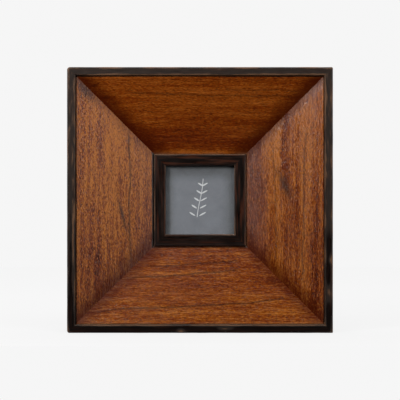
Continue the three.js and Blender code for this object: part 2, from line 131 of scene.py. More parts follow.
def rounded_section(corners, arc_points=7, run_points=10):
    """A closed section as points = fixed + sum over corners of radius * arc. An arc sweeps from one edge of
    its corner to the other; a run between two arcs is a mix of their ends, closer spaced towards both."""
    corners = np.array(corners, float)
    back = np.roll(corners, 1, axis=0) - corners
    ahead = np.roll(corners, -1, axis=0) - corners
    back /= np.linalg.norm(back, axis=1, keepdims=True)
    ahead /= np.linalg.norm(ahead, axis=1, keepdims=True)
    half = np.arccos(np.clip((back * ahead).sum(axis=1), -1, 1))[:, None] / 2
    middle = (back + ahead) / np.linalg.norm(back + ahead, axis=1, keepdims=True) / np.sin(half)
    first = back / np.tan(half) - middle
    last = ahead / np.tan(half) - middle
    sweep = np.pi - 2 * half[..., None]
    share = np.linspace(0, 1, arc_points)[None, :, None]
    arcs = first[:, None] * np.sin((1 - share) * sweep) + last[:, None] * np.sin(share * sweep)
    arcs = arcs / np.sin(sweep) + middle[:, None]
    mix = (1 - np.cos(np.pi * np.arange(1, run_points + 1) / (run_points + 1)))[None, :, None] / 2
    count = len(corners)
    ring = np.arange(count)
    fixed = np.concatenate([
        np.repeat(corners[:, None], arc_points, axis=1),
        (1 - mix) * corners[:, None] + mix * np.roll(corners, -1, axis=0)[:, None],
    ], axis=1)
    weights = np.zeros((count, arc_points + run_points, count, 2))
    weights[ring, :arc_points, ring] = arcs
    weights[ring, arc_points:, ring] = (1 - mix) * arcs[:, -1:]
    weights[ring, arc_points:, (ring + 1) % count] += mix * np.roll(arcs, -1, axis=0)[:, :1]
    return fixed.reshape(-1, 2), weights.reshape(-1, count, 2)


def add_piece(name, points, faces, crease=CREASE):
    """A smooth-shaded mesh from points and lists of corners, with edges sharper than crease degrees kept."""
    mesh = bpy.data.meshes.new(name)
    mesh.from_pydata(points.reshape(-1, 3).tolist(), [], faces)
    mesh.shade_smooth()
    mesh.set_sharp_from_angle(angle=np.radians(crease))
    piece = bpy.data.objects.new(name, mesh)
    bpy.context.scene.collection.objects.link(piece)
    return piece


def mark(piece, name, kind, values):
    """Gives every point of a piece a named value, which its material reads."""
    attribute = piece.data.attributes.new(name, kind, "POINT")
    field = "vector" if kind == "FLOAT_VECTOR" else "value"
    attribute.data.foreach_set(field, np.ascontiguousarray(values, np.float32).ravel())


def tube_faces(rows, columns):
    """Quads over a grid whose columns close on themselves, and one face over each end."""
    index = np.arange(rows * columns).reshape(rows, columns)
    ahead = np.roll(index, -1, axis=1)
    quads = np.stack([index[:-1], ahead[:-1], ahead[1:], index[1:]], axis=-1).reshape(-1, 4)
    return quads.tolist() + [index[0, ::-1].tolist(), index[-1].tolist()]


def box_of(node):
    """The two ends of a CAD node's box, as arrays."""
    low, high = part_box(node)
    return np.array(low), np.array(high)


def turned(profile, centre, count=64):
    """The points of a turned piece: a profile of (radius, reach to the back) carried round a line through
    centre."""
    turn = np.linspace(0, 2 * np.pi, count, endpoint=False)
    radius, reach = np.array(profile).T[..., None]
    return centre + np.stack([radius * np.sin(turn), reach + 0 * turn, radius * np.cos(turn)], axis=-1)


def join(name, *parts):
    """One piece from several sets of points and faces."""
    starts = np.cumsum([0] + [len(points) for points, faces in parts])
    faces = [[corner + start for corner in face] for (_, part), start in zip(parts, starts) for face in part]
    return add_piece(name, np.concatenate([points for points, _ in parts]), faces)


def shank_hole(node, radius):
    """A plug along the shank of a fastener, a millimetre longer than the fastener at both ends."""
    low, high = box_of(node)
    reach = (high[1] - low[1]) / 2 + MM
    points = turned([(radius, -reach), (radius, reach)], (low + high) / 2)
    return points.reshape(-1, 3), tube_faces(*points.shape[:2])


def points_of(piece):
    """The points of a piece's mesh, as an array."""
    places = np.empty(3 * len(piece.data.vertices), np.float32)
    piece.data.vertices.foreach_get("co", places)
    return places.reshape(-1, 3).astype(float)


def bore(piece, plugs, shells=1):
    """Takes from a piece what it shares with the plugs. More than one shell in it becomes one skin."""
    plug = join("plug", *plugs)
    cut = piece.modifiers.new("bore", "BOOLEAN")
    cut.operation = "DIFFERENCE"
    cut.solver = "EXACT"
    cut.use_self = shells > 1
    cut.object = plug
    whole = piece.data
    evaluated = piece.evaluated_get(bpy.context.evaluated_depsgraph_get())
    piece.data = bpy.data.meshes.new_from_object(evaluated)
    piece.modifiers.clear()
    piece.data.shade_smooth()
    piece.data.set_sharp_from_angle(angle=np.radians(CREASE))
    bpy.data.meshes.remove(whole)
    bpy.data.meshes.remove(plug.data)


def places_along(count):
    """Places along a stick from its far end at 1 to its near end at -1, closer spaced towards both."""
    return np.sin(np.linspace(np.pi / 2, -np.pi / 2, count))


def mitred_stick(name, quarter, section, radii, rub, rounding=(0.0, 0.0), plugs=()):
    """A section carried along one side of the square. Every point runs to the plane that halves the corner,
    so its line is shorter at each end by its inset. Near a rounded corner the outer points also bow in by the
    height of that corner's arc, fading to nothing at CORNER_REACH. radii has a row for each place along, and
    plugs are the holes to bore. Every point is marked with its place in the stock and with its rubbing, which
    on the rails also carries a painted sheen and, on some arrises, a painted highlight."""
    fixed, weights = section
    places = places_along(len(radii))[:, None]
    shape = fixed + np.einsum("rc,pcd->rpd", radii, weights)
    inset, depth = shape[..., 0], shape[..., 1]
    corner = np.where(places < 0, rounding[0], rounding[1])
    outer = np.clip(1 - inset / CORNER_REACH, 0, 1)
    end = HALF - inset - outer * corner * (1 - np.sqrt(0.5))
    along = places * end
    into_arc = np.clip(corner * np.sqrt(0.5) - (end - np.abs(along)), 0, None)
    inset = inset + outer * (corner - np.sqrt(corner**2 - into_arc**2))
    cos, sin = QUARTER_TURNS[quarter]
    up = inset - HALF
    points = np.stack([along * cos + up * sin, FRONT + depth, HALF - along * sin + up * cos], axis=-1)
    piece = add_piece(name, points, tube_faces(*inset.shape))
    if plugs:
        bore(piece, plugs)
        x, y, z = points_of(piece).T
        along = x * cos - (z - HALF) * sin
        inset = x * sin + (z - HALF) * cos + HALF
        depth = y - FRONT
    mark(piece, "stock", "FLOAT_VECTOR", np.stack([along + STOCK_STEP * quarter, inset, depth], axis=-1))
    mark(piece, "rub", "FLOAT", rub(along, inset, depth))
    return piece


class Shade:
    """An output socket of a material's nodes. Arithmetic with it adds Math nodes to the same material."""

    def __init__(self, tree, socket=None):
        self.tree = tree
        self.socket = socket

    def add(self, kind, settings, inputs, output=0):
        """Adds a node of a kind: first its settings, then a value or a link for each named input."""
        node = self.tree.nodes.new(kind)
        for name, value in settings.items():
            if name == "stops":
                for place, _ in value[1:-1]:
                    node.color_ramp.elements.new(place)
                for element, (place, colour) in zip(node.color_ramp.elements, value):
                    element.position = place
                    element.color = (*colour, 1)
            else:
                setattr(node, name, value)
        for name, value in inputs.items():
            if isinstance(value, Shade):
                self.tree.links.new(value.socket, node.inputs[name])
            elif node.inputs[name].type == "RGBA":
                node.inputs[name].default_value = (*value, 1)
            else:
                node.inputs[name].default_value = value
        return Shade(self.tree, None if output is None else node.outputs[output])

    def math(self, operation, *values):
        """What a Math node makes of its values, each a number or a Shade."""
        return self.add("ShaderNodeMath", {"operation": operation}, dict(enumerate(values)))

    def __add__(self, other):
        return self.math("ADD", self, other)

    def __sub__(self, other):
        return self.math("SUBTRACT", self, other)

    def __rsub__(self, other):
        return self.math("SUBTRACT", other, self)

    def __mul__(self, other):
        return self.math("MULTIPLY", self, other)

    __radd__ = __add__
    __rmul__ = __mul__

    def rise(self, low, high):
        """0 below low and 1 above high, with a smooth step between; falls where low is above high."""
        limits = {"Value": self, "From Min": low, "From Max": high}
        return self.add("ShaderNodeMapRange", {"interpolation_type": "SMOOTHSTEP"}, limits)

    def bell(self, width):
        """1 at nought, falling away on both sides as exp(-(value / width) squared)."""
        return self.math("EXPONENT", self * self * (-1 / width**2))

    def blend(self, low, high):
        """The colour low where this value is 0, and high where it is 1."""
        return self.add("ShaderNodeMix", {"data_type": "RGBA"}, {0: self, 6: low, 7: high}, 2)


def new_finish(name):
    """An empty material, and a Shade to hang its nodes on."""
    material = bpy.data.materials.new(name)
    material.use_nodes = True
    material.node_tree.nodes.clear()
    return material, Shade(material.node_tree)


def lay_on(start, colour, roughness, height, relief, fixed):
    """The surface itself: colour and roughness that vary, and a bump of relief metres from a height of 0
    to 1. Values that are the same all over go straight onto the shader's own sockets."""
    bump = start.add("ShaderNodeBump", {}, {"Height": height, "Distance": relief})
    varying = {"Base Color": colour, "Roughness": roughness, "Normal": bump}
    shader = start.add("ShaderNodeBsdfPrincipled", {}, {**varying, **fixed})
    start.add("ShaderNodeOutputMaterial", {}, {"Surface": shader}, None)


def attribute(start, name, output):
    """The value that mark gave to a piece's points under a name."""
    return start.add("ShaderNodeAttribute", {"attribute_name": name}, {}, output)


def part_of(start, vector, axis):
    """A vector's part along one axis."""
    return start.add("ShaderNodeSeparateXYZ", {}, {"Vector": vector}, axis)


def fibres(start, place, size, seed, detail=2):
    """Noise from 0 to 1 whose marks are about size millimetres along each axis of place. Each seed shifts it
    to marks of its own."""
    scale = tuple(1 / (length * MM) for length in size)
    shift = (1.7 * seed, 0.9 * seed, 0.4 * seed)
    vectors = {0: place, 1: scale, 2: shift}
    stretched = start.add("ShaderNodeVectorMath", {"operation": "MULTIPLY_ADD"}, vectors)
    return start.add("ShaderNodeTexNoise", {}, {"Vector": stretched, "Scale": 1.0, "Detail": detail})


def ebonised_wood(name, reddish, front):
    """Black stain over close grain. A little rubbing only greys the black, as does the painted sheen in the
    same rub value, and more rubbing shows brown wood, partly a painted highlight on some arrises that face
    up.
    Here and there a streak of grain is reddish, by so much. The wax is polished near the front, which lies at
    a given depth, and dull on the sides and back."""
    material, start = new_finish(name)
    stock = attribute(start, "stock", "Vector")
    rub = attribute(start, "rub", "Fac")
    grain = fibres(start, stock, (7, 0.5, 0.5), seed=3, detail=3)
    patch = fibres(start, stock, (12, 2, 2), seed=8, detail=3)
    # Grey from a little rubbing and from the painted sheen.
    greyed_and_sheen = (rub + 0.3 * (patch - 0.5)).rise(0.0, 0.3)
    # Brown wood where rubbed, partly a painted highlight on some arrises that face up.
    worn = (rub + (patch - 0.5) + 0.5 * (grain - 0.5)).rise(0.45, 0.85)
    streak = fibres(start, stock, (30, 1.3, 1.3), seed=5).rise(0.46, 0.72)
    stained = greyed_and_sheen.blend(grain.blend(*EBONY_BLACK), grain.blend(*EBONY_GREY_AND_SHEEN))
    colour = (reddish * streak).blend(stained, RED_STREAK)
    colour = worn.blend(colour, grain.blend(*RUBBED_BROWN_AND_HIGHLIGHT))
    unpolished = (part_of(start, stock, "Z") - front).rise(1.5 * MM, 6 * MM)
    roughness = 0.33 + 0.2 * worn + 0.3 * (patch - 0.5) + 0.27 * unpolished
    lay_on(start, colour, roughness, grain - 0.5 * worn, 0.02 * MM, {"Specular IOR Level": 0.22})
    return material


def arris_rub_and_sheen(arrises, strengths, fade, dabs, seed, reach):
    """How far the stain is rubbed, as a function of place, with a painted sheen in the same value. The
    painted sheen greys the front, more at one end than at the other, and the sides less and less towards the
    back.
    Towards an arris this runs over into that arris's own rubbing, uneven along its length, within about reach
    of it; on some arrises that face up this rubbing is partly a painted highlight. In the same way it runs
    over into single dabs, and into the frame's rubbed outer corners."""
    def rub(along, inset, depth):
        """The rubbing, with the painted sheen, at places on a stick: 0 where the black is whole, and 1 where
        the wood is bare.
        """
        # Painted sheen: the front is greyed, more at the top end on the outer rails, and less on the sides
        # towards the back.
        before, after, place, spread = fade
        total = before + (after - before) * (0.5 + 0.5 * np.tanh((along / MM - place) / spread))
        behind = depth - arrises[0][1]
        total *= np.clip(1.2 - behind / FADE_DEPTH, 0, 1)
        for i, ((arris_inset, arris_depth), strength) in enumerate(zip(arrises, strengths)):
            near = np.exp(-((inset - arris_inset) ** 2 + (depth - arris_depth) ** 2) / reach**2)
            total += near * (strength * (0.75 + 0.45 * waver(along, seed + i, ARRIS_WAVE)) - total)
        for place, middle, length, width, strength in dabs:
            spot = ((along / MM - place) / length) ** 2 + ((inset / MM - middle) / width) ** 2
            total += np.exp(-spot - (behind / DAB_DEPTH) ** 2) * (strength - total)
        tip = np.exp(-(((HALF - np.abs(along)) / TIP_LENGTH) ** 2) - (inset / TIP_WIDTH) ** 2)
        return total + tip * (TIP_RUB - total)
    return rub


def uneven_rounding(rounding, stations, first_seed, unevenness, wave):
    """The radius of every corner of a section at stations along a stick: its rounding times 1 + unevenness of
    a wave along the stick, seeded for each corner."""
    along = HALF * places_along(stations)
    waves = [waver(along, first_seed + corner, wave) for corner in range(len(rounding))]
    return (1 + unevenness * np.stack(waves, axis=1)) * rounding


def settle(piece, body, node, finish):
    """Gives a piece its finish and puts it in the place of a CAD node on one of the bodies."""
    piece.data.materials.append(finish)
    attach(piece, body)
    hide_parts(node)


rail_section = rounded_section(RAIL_CORNERS)
ebony = ebonised_wood("ebonised_wood", RAIL_RED, front=0.0)
for quarter, side in enumerate(SIDES):
    first_seed = 10 * quarter
    radii = uneven_rounding(RAIL_ROUNDING, RAIL_STATIONS, first_seed, RAIL_UNEVENNESS, RAIL_WAVE)
    rounding = (CORNER_ROUNDING[quarter], CORNER_ROUNDING[quarter - 1])
    wear_and_sheen = (RAIL_RUB_AND_HIGHLIGHT[side], RAIL_PAINTED_SHEEN[side], RAIL_DABS[side])
    rub = arris_rub_and_sheen(RAIL_CORNERS[:2], *wear_and_sheen, 100 + first_seed, RAIL_RUB_REACH)
    screws = [f"button_screw_{side}_{level}" for level in LEVELS if side in ENDS]
    holes = [shank_hole(screw, SCREW_HOLE) for screw in screws]
    rail = mitred_stick(f"worn_rail_{side}", quarter, rail_section, radii, rub, rounding, holes)
    settle(rail, "frame", f"rail_{side}", ebony)

# Sloping panels
# Four boards of open-pored hardwood, cut to trapezoids and glued onto the sloping shoulders of the rails.
# They are stained red-brown and lacquered to a satin sheen. Painted shadows darken their edges where the
# rails and the inner frame stand proud of them, and painted light and sheen lighten parts of them.
PANEL_EDGE = RAIL_FACE + GAP
PANEL_END = 80.85 * MM


def panel_face(inset):
    """How deep a panel's face lies at an inset: it falls evenly from the rail to the middle."""
    return PANEL_REVEAL + (inset - RAIL_FACE) * PANEL_SLOPE


PANEL_CORNERS = [
    (PANEL_EDGE, panel_face(PANEL_EDGE)),
    (PANEL_END, panel_face(PANEL_END)),
    (PANEL_END, panel_face(PANEL_END) + PANEL_RISE),
    (PANEL_EDGE, panel_face(PANEL_EDGE) + PANEL_RISE),
]
PANEL_ROUNDING = np.array([0.7, 0.7, 0.2, 0.2]) * MM
PANEL_STATIONS = 161
PANEL_RUB = {"bottom": 0.5, "left": 0.1, "top": 0.1, "right": 0.1}  # of the outer edge
GRAIN_SWAY = 9 * MM  # how far bands and streaks wander
STREAK_WIDTH = 0.9 * MM
STREAK_TAPER = 12 * MM  # at each end
PAINTED_SHEEN_INSETS = (55 * MM, 75 * MM)  # where the painted sheen starts and where it is full
DARKEST = 0.92  # the most that pores, knots or the darkening along the mitres hide
PORE_BROWN = (0.034, 0.0065, 0.0010)
# dark red that the boards take on towards their mitres
MITRE_DARK_RED = (0.055, 0.0055, 0.0005)
# painted sheen, a greyish mauve laid on towards the inner edge of a board
PAINTED_SHEEN_MAUVE = (0.21, 0.12, 0.10)
PALE_FLECK = (0.40, 0.16, 0.04)
BARE_HARDWOOD = (0.30, 0.14, 0.07)
# painted shadow along a board's edges, under the rails and by the inner frame
PAINTED_SHADOW_BLACK = (0.006, 0.003, 0.0015)
BOARDS = {  # the stain and the figure of each board, as stained_hardwood takes them
    "bottom": {
        "streaks": [(25.5, 0.06, -95, 75, 0.65), (55, 0.08, -65, 30, 0.65), (64, 0.07, -45, 30, 0.5)],
        "knots": [],
        "bands": [(12, 12, 0.07), (43, 6, -0.06), (76, 10, -0.12)],
        "mitre_dark": [(0.75, 24, 0.0), (0.6, 18, 0.0)],
        "edges": (0.0, 0.7),
        "tone": 0.58, "fade": 0.03, "contrast": 0.72, "inner_painted_sheen": 0.0,
        "gold": 0.95, "dull": 0.0, "flecks": 0.3, "relief": 0.09, "matt": 0.26,
    },
    "left": {
        "streaks": [(58, 0.02, -60, 60, 0.68)],
        "knots": [(14, 51, 0.25, 14, 1.6), (-104, 17, 0.5, 10, 7)],
        "bands": [(22, 6, -0.06), (38, 9, 0.05), (60, 9, 0.12), (76, 6, -0.10)],
        "mitre_dark": [(0.4, 14, 0.3), (0.85, 28, -0.15)],
        "edges": (0.5, 1.0),
        "tone": 0.73, "fade": -0.16, "contrast": 1.0, "inner_painted_sheen": 0.1,
        "gold": 0.94, "dull": 0.001, "flecks": 0.4, "relief": 0.45, "matt": 0.40,
    },
    "top": {
        "streaks": [(26, -0.03, -85, 60, 0.45), (21, -0.02, -90, -30, 0.35)],
        "knots": [(100, 17, 0.1, 4, 1.3), (89, 28, 0.1, 4, 1.3)],
        "bands": [(17, 9, 0.06), (34, 18, 0.11), (67, 11, -0.12), (68, 4.5, -0.12), (80, 2.5, 0.35)],
        "mitre_dark": [(0.9, 26, -0.15), (0.92, 27, -0.15)],
        "edges": (1.0, 0.0),
        "tone": 0.61, "fade": 0.0, "contrast": 0.55, "inner_painted_sheen": 0.0,
        "gold": 0.8, "dull": 0.0, "flecks": 0.1, "relief": 0.07, "matt": 0.26,
    },
    "right": {
        "streaks": [(27, -0.02, -70, 60, 0.5), (54, 0.02, -50, 50, 0.35)],
        "knots": [(14, 44.5, 0.4, 12, 4)],
        "bands": [(20, 5, -0.07), (30, 8, 0.12), (42, 4, -0.05), (54, 6, 0.3), (73, 8, -0.12)],
        "mitre_dark": [(0.83, 25, -0.15), (0.7, 16, -0.07)],
        "edges": (0.25, 0.2),
        "tone": 0.63, "fade": 0.18, "contrast": 1.0, "inner_painted_sheen": 0.3,
        "gold": 0.92, "dull": 0.001, "flecks": 0.3, "relief": 0.42, "matt": 0.28,
    },
}


def stained_hardwood(side, quarter, streaks, knots, bands, mitre_dark, edges, tone, fade, contrast, inner_painted_sheen, gold,
                     dull, flecks, relief, matt):
    """Stained hardwood with its grain along the board: broad bands, fine fibres, dark pores and pale flecks.
    streaks are dark lines (inset, drift, first, last, darkness), knots are smudges (along, inset, lean,
    length, width) and bands are lighter or darker growth (inset, width, lift), in millimetres. glaze is how
    much darker the board grows towards its start and end, along the mitres (darkness, reach, how much rougher
    the lacquer is there), and edges the painted shadow along its outer and inner edge. tone is how light the
    board is, fade how much lighter towards its end, which on the side boards is painted light that makes them
    lighter towards the top; contrast how lively its grain, bloom how much painted sheen lies towards the
    inner edge, gold how yellow it is, dull how much painted sheen greys the stain, flecks how pale the flecks
    are, relief how open the grain, in millimetres, and matt how rough the lacquer."""
    material, start = new_finish(f"stained_hardwood_{side}")
    stock = attribute(start, "stock", "Vector")
    rub = attribute(start, "rub", "Fac")
    along = part_of(start, stock, "X") - STOCK_STEP * quarter
    inset = part_of(start, stock, "Y")
    seed = 20 + 7 * quarter
    band = fibres(start, stock, (160, 9, 9), seed)
    figure = fibres(start, stock, (50, 3.2, 3.2), seed + 1)
    fibre = fibres(start, stock, (9, 0.7, 0.7), seed + 2, detail=3)
    pore = fibres(start, stock, (2.6, 0.42, 0.42), seed + 3, detail=1)
    fleck = fibres(start, stock, (2.4, 0.75, 0.75), seed + 4)
    ridge = fibres(start, stock, (3.4, 0.9, 0.9), seed + 7)
    sway = GRAIN_SWAY * (fibres(start, stock, (60, 200, 200), seed + 5) - 0.5)
    run = fibres(start, stock, (12, 12, 12), seed + 6, detail=3)
    marks = (band - 0.5) + (figure - 0.5) + 1.3 * (fibre - 0.5) + 1.8 * (fleck - 0.5)
    # On the side boards this lightening along the board is painted light: they grow lighter towards the top.
    grain = tone + contrast * marks + (fade / HALF) * along
    for centre, width, lift in bands:
        grain = grain + lift * (inset - centre * MM - sway).bell(width * MM)
    # The grey that dull adds to the blue of the stain is painted sheen.
    stain = start.add("ShaderNodeValToRGB", {"stops": [
        (0.10, (0.050, 0.008 * gold, 0.0008)),
        (0.40, (0.150, 0.024 * gold, 0.0010 + dull)),
        (0.55, (0.215, 0.044 * gold, 0.0014 + dull)),
        (0.70, (0.270, 0.070 * gold, 0.0030 + dull)),
        (1.00, (0.450, 0.147 * gold, 0.0125 + dull)),
    ]}, {"Fac": grain})
    dark = 0.75 * pore.rise(0.54, 0.66)
    for centre, drift, first, last, strength in streaks:
        line = inset - centre * MM - drift * along - sway
        starts = along.rise(first * MM - STREAK_TAPER, first * MM)
        ends = along.rise(last * MM + STREAK_TAPER, last * MM)
        dark = dark + strength * line.bell(STREAK_WIDTH) * starts * ends
    for place, centre, lean, length, width in knots:
        across = inset - centre * MM - lean * (along - place * MM)
        dark = dark + 0.9 * (along - place * MM).bell(length * MM) * across.bell(width * MM)
    room = HALF - inset
    # Towards its mitres the board darkens, its grain is smoothed, and its lacquer is made rougher or
    # smoother, by each end's row.
    thick = 0
    roughness = matt + 0.3 * (fibre - 0.5) + 0.2 * (band - 0.5)
    for gap, (strength, reach, roughening) in zip((room + along, room - along), mitre_dark):
        darkened = strength * (gap + 0.6 * reach * MM * (run - 0.5)).rise(reach * MM, 0)
        thick = thick + darkened
        roughness = roughness + roughening * darkened
    # Painted sheen: the stain turns greyish mauve towards the inner edge, by the board's share of it.
    colour = (inner_painted_sheen * inset.rise(*PAINTED_SHEEN_INSETS)).blend(stain, PAINTED_SHEEN_MAUVE)
    colour = dark.math("MINIMUM", dark, DARKEST).blend(colour, PORE_BROWN)
    colour = thick.math("MINIMUM", thick, DARKEST).blend(colour, MITRE_DARK_RED)
    colour = (fleck.rise(0.60, 0.72) * flecks).blend(colour, PALE_FLECK)
    colour = rub.blend(colour, BARE_HARDWOOD)
    # Painted shadows: dark lines along the outer edge under the rails and along the inner edge by the inner
    # frame.
    outer_painted_shadow = edges[0] * (inset - PANEL_EDGE + 0.8 * MM * (figure - 0.5)).rise(1.2 * MM, 0.5 * MM)
    inner_painted_shadow = edges[1] * (PANEL_END - inset + 1.2 * MM * (figure - 0.5)).rise(2.6 * MM, 1.4 * MM)
    black = outer_painted_shadow.math("MAXIMUM", outer_painted_shadow, inner_painted_shadow)
    colour = black.blend(colour, PAINTED_SHADOW_BLACK)
    height = (1 - thick) * (ridge + 0.3 * fibre - 0.3 * pore.rise(0.55, 0.72))
    lay_on(start, colour, roughness, height, relief * MM, {"Specular IOR Level": 0.56})
    return material


def panel_rub(seed, outer_rub):
    """The lacquer is rubbed along the board's inner edge, and by outer_rub along its outer one, unevenly and
    within about a millimetre of it."""
    def rub(along, inset, depth):
        """The rubbing at places on a board: 0 where the lacquer is whole, and 1 where the wood is bare."""
        inner_edge = np.exp(-(((PANEL_END - inset) / (1.2 * MM)) ** 2))
        outer_edge = np.exp(-(((inset - PANEL_EDGE) / MM) ** 2))
        inner = inner_edge * (0.3 + 0.25 * waver(along, seed, 25 * MM))
        outer = outer_edge * (1 + waver(along, seed + 1, 30 * MM))
        return np.clip(inner + outer_rub * outer, 0, 1)
    return rub


panel_section = rounded_section(PANEL_CORNERS, run_points=26)
for quarter, side in enumerate(SIDES):
    radii = np.repeat(PANEL_ROUNDING[None], PANEL_STATIONS, axis=0)
    rub = panel_rub(300 + 10 * quarter, PANEL_RUB[side])
    panel = mitred_stick(f"stained_panel_{side}", quarter, panel_section, radii, rub)
    settle(panel, "frame", f"panel_{side}", stained_hardwood(side, quarter, **BOARDS[side]))

# Inner frame
# Four small mitred sticks of the rails' black-stained wood, rebated behind for the picture and glued to the
# inner edges of the panels, a little proud of them. Their arrises are rubbed brown as well; on the top
# strip's outer arris and the bottom strip's inner one, which face up, the brown is partly a painted
# highlight.
INNER_INSET = PANEL_END + GAP
INNER_OPENING = 92 * MM
INNER_REBATE = 86.5 * MM
INNER_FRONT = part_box("inner_frame_bottom")[0].y - FRONT
INNER_LIP = 4 * MM
INNER_CORNERS = [
    (INNER_INSET, INNER_FRONT),
    (INNER_OPENING, INNER_FRONT),
    (INNER_OPENING, INNER_FRONT + INNER_LIP),
    (INNER_REBATE, INNER_FRONT + INNER_LIP),
    (INNER_REBATE, BOARD_SEAT),
    (INNER_INSET, BOARD_SEAT),
]
INNER_ROUNDING = np.array([1.0, 0.9, 0.3, 0.2, 0.2, 0.2]) * MM
INNER_STATIONS = 121
INNER_UNEVENNESS = 0.25
INNER_WAVE = 20 * MM
INNER_FADE = (0.06, 0.06, 0, 50)
# rubbing of the outer and the inner arris; partly a painted highlight where an arris faces up
INNER_RUB_AND_HIGHLIGHT = {"bottom": (0.5, 1.3), "left": (1.5, 1.2), "top": (2.0, 0.3), "right": (1.5, 1.4)}
INNER_RUB_REACH = 0.8 * MM
INNER_RED = {"bottom": 0.4, "left": 0.5, "top": 1.0, "right": 0.75}

inner_section = rounded_section(INNER_CORNERS)
for quarter, side in enumerate(SIDES):
    first_seed = 400 + 10 * quarter
    radii = uneven_rounding(INNER_ROUNDING, INNER_STATIONS, first_seed, INNER_UNEVENNESS, INNER_WAVE)
    wear_and_sheen = (INNER_RUB_AND_HIGHLIGHT[side], INNER_FADE, [])
    rub = arris_rub_and_sheen(INNER_CORNERS[:2], *wear_and_sheen, 100 + first_seed, INNER_RUB_REACH)
    strip = mitred_stick(f"worn_inner_strip_{side}", quarter, inner_section, radii, rub)
    streaked_ebony = ebonised_wood(f"streaked_ebonised_wood_{side}", INNER_RED[side], INNER_FRONT)
    settle(strip, "frame", f"inner_frame_{side}", streaked_ebony)

# Glass
# A pane of 2 mm float glass, laid into the rebate of the inner frame from behind. It is clear, with a little
# dust that dulls its shine unevenly.
GLASS_TINT = [(0.90, 0.95, 0.94), (0.97, 0.98, 0.97)]  # from clean to dusty
GLASS_HIDES = 0.06  # share of what lies behind it


def paint_node(name, material):
    """Gives a CAD node, whose shape stays, a finish of its own."""
    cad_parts[name].material_slots[0].material = material


def object_place(start):
    """Where a point lies in the frame."""
    return start.add("ShaderNodeTexCoord", {}, {}, "Object")


def clear_glass():
    """Thin clear glass: mostly see-through, with a sharp shine that dust takes off here and there."""
    material, start = new_finish("clear_glass")
    dust = fibres(start, object_place(start), (12, 12, 12), seed=61, detail=4)
    roughness = 0.02 + 0.1 * dust.rise(0.5, 0.8)
    lay_on(start, dust.blend(*GLASS_TINT), roughness, dust, 0.005 * MM, {"Alpha": GLASS_HIDES})
    return material


paint_node("glass_pane", clear_glass())

# Printed card
# The slip of card that fills the frame until a picture goes in: slate grey, with a pale sprig of leaves
# printed on it. It lies loose between the glass and the pad.
SPRIG_FOOT = -17 * MM  # heights from the middle of the card
SPRIG_TIP = 20 * MM
STEM_EDGE = (0.45 * MM, 0.2 * MM)  # half widths at which its ink starts and is full
STEM_SWING = 3 * MM
STEM_RADIAN = 14 * MM  # height over which its sine turns by one radian
LEAF_PITCH = 7.5 * MM
LEAF_FOOT = 0.8 * MM  # height above the start of each step
LEAF_LIFT = 0.55  # slope at which a leaf leaves the stem
LEAF_ASIDE = 5 * MM  # middle of the lowest leaves from the stem
LEAF_LENGTH = 3.4 * MM
LEAF_WIDTH = 0.9 * MM
LEFT_SHADE = (-33 * MM, -21 * MM)  # where the painted shadow of the inner frame starts at the card's edge and where it ends
RIGHT_SHADE = (33 * MM, 18 * MM)
TOP_SHADE = (31 * MM, 15 * MM)
SLATE_AND_PAINTED_SHADOW = [(0.040, 0.043, 0.052), (0.172, 0.184, 0.219)]  # from deep in the painted shadow to the middle
PALE_INK = (0.74, 0.75, 0.76)


def printed_card():
    """Slate-grey print with a soft tooth, darkened towards its left, right and top edges by a painted shadow
    of the
    inner frame. On it is a sprig: a stem that follows a sine, and leaves that repeat up it in pairs, each the
    product of a bell along it and a bell across it."""
    material, start = new_finish("printed_card")
    place = object_place(start)
    tooth = fibres(start, place, (0.7, 0.7, 0.7), seed=71)
    mottle = fibres(start, place, (9, 9, 9), seed=72, detail=3)
    across = part_of(start, place, "X")
    up = part_of(start, place, "Z") - HALF
    bend = across - STEM_SWING * up.math("SINE", up * (1 / STEM_RADIAN))
    aside = bend.math("ABSOLUTE", bend)
    reach = up.rise(SPRIG_FOOT, SPRIG_FOOT + MM) * up.rise(SPRIG_TIP + MM, SPRIG_TIP)
    stem = aside.rise(*STEM_EDGE) * reach
    step = up.math("FLOORED_MODULO", up - SPRIG_FOOT, LEAF_PITCH) - LEAF_LIFT * aside
    taper = 1 - 0.7 * up.rise(SPRIG_FOOT, SPRIG_TIP)
    blade = (step - LEAF_FOOT).bell(LEAF_WIDTH) * (aside - LEAF_ASIDE * taper).bell(LEAF_LENGTH)
    leaf = blade.rise(0.35, 0.55) * reach
    # Painted shadow of the inner frame, darkening the card towards its left, right and top edges.
    out_of_painted_shadow = across.rise(*LEFT_SHADE) * across.rise(*RIGHT_SHADE) * up.rise(*TOP_SHADE)
    ground = 0.08 + 0.65 * out_of_painted_shadow + 0.5 * (mottle - 0.5) + 0.45 * (tooth - 0.5)
    colour = (0.9 * stem.math("MAXIMUM", stem, leaf)).blend(ground.blend(*SLATE_AND_PAINTED_SHADOW), PALE_INK)
    roughness = 0.55 + 0.3 * (tooth - 0.5)
    lay_on(start, colour, roughness, tooth, 0.02 * MM, {"Specular IOR Level": 0.2})
    return material


paint_node("photo_card", printed_card())

# Filler pad
# A square of brown corrugated card, cut to the size of the glass. It lies loose behind the picture and
# presses it against the glass when the back board is closed.
FLUTE_PITCH = 4 * MM
PAD_BROWN = [(0.26, 0.16, 0.085), (0.46, 0.32, 0.19)]


def corrugated_card():
    """Brown card with the faint ribs of its flutes, a sine, showing through the facing paper."""
    material, start = new_finish("corrugated_card")
    place = object_place(start)
    across = part_of(start, place, "X")
    flute = across.math("SINE", across * (2 * np.pi / FLUTE_PITCH))
    pulp = fibres(start, place, (2, 2, 1), seed=81, detail=3)
    roughness = 0.85 + 0.2 * (pulp - 0.5)
    lay_on(start, pulp.blend(*PAD_BROWN), roughness, 0.6 * flute + pulp, 0.1 * MM, {})
    return material


paint_node("filler_pad", corrugated_card())

